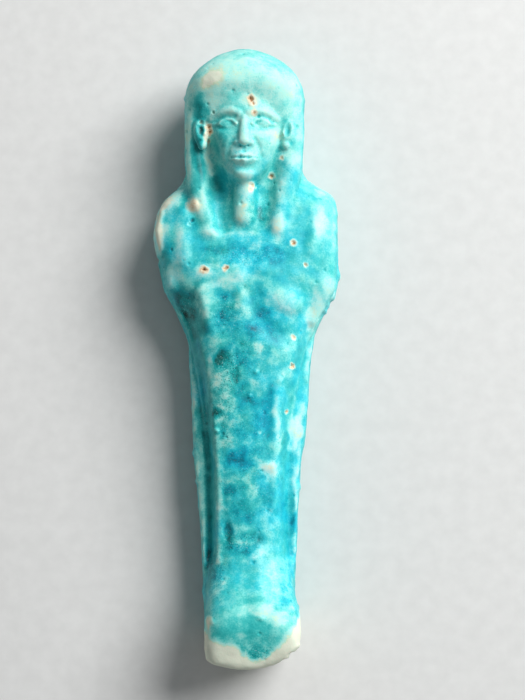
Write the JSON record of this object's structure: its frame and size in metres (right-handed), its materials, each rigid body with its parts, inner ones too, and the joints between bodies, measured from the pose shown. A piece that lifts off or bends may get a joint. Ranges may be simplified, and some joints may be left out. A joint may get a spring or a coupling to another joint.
{
  "type": "ushabti figurine",
  "caption": "Small mummiform figurine of worn turquoise faience, with a long wig, crossed arms, turned-up feet and a flat back pillar, lying on its back.",
  "frame": {"origin": "under the middle of the bounding box, on the plane of the back pillar's flat face", "axes": "+Y from the sole to the crown, +Z from the back to the chest, +X to the figure's left"},
  "size_m": [0.0332, 0.1094, 0.02],
  "materials": {
    "glazed_faience": "mottled turquoise alkaline glaze with a soft gloss, thin and pale on the high places, pooled darker in the hollows, worn to the cream body at the foot and shoulder"
  },
  "bodies": {
    "root": {"ushabti": "glazed_faience"}
  },
  "joints": []
}
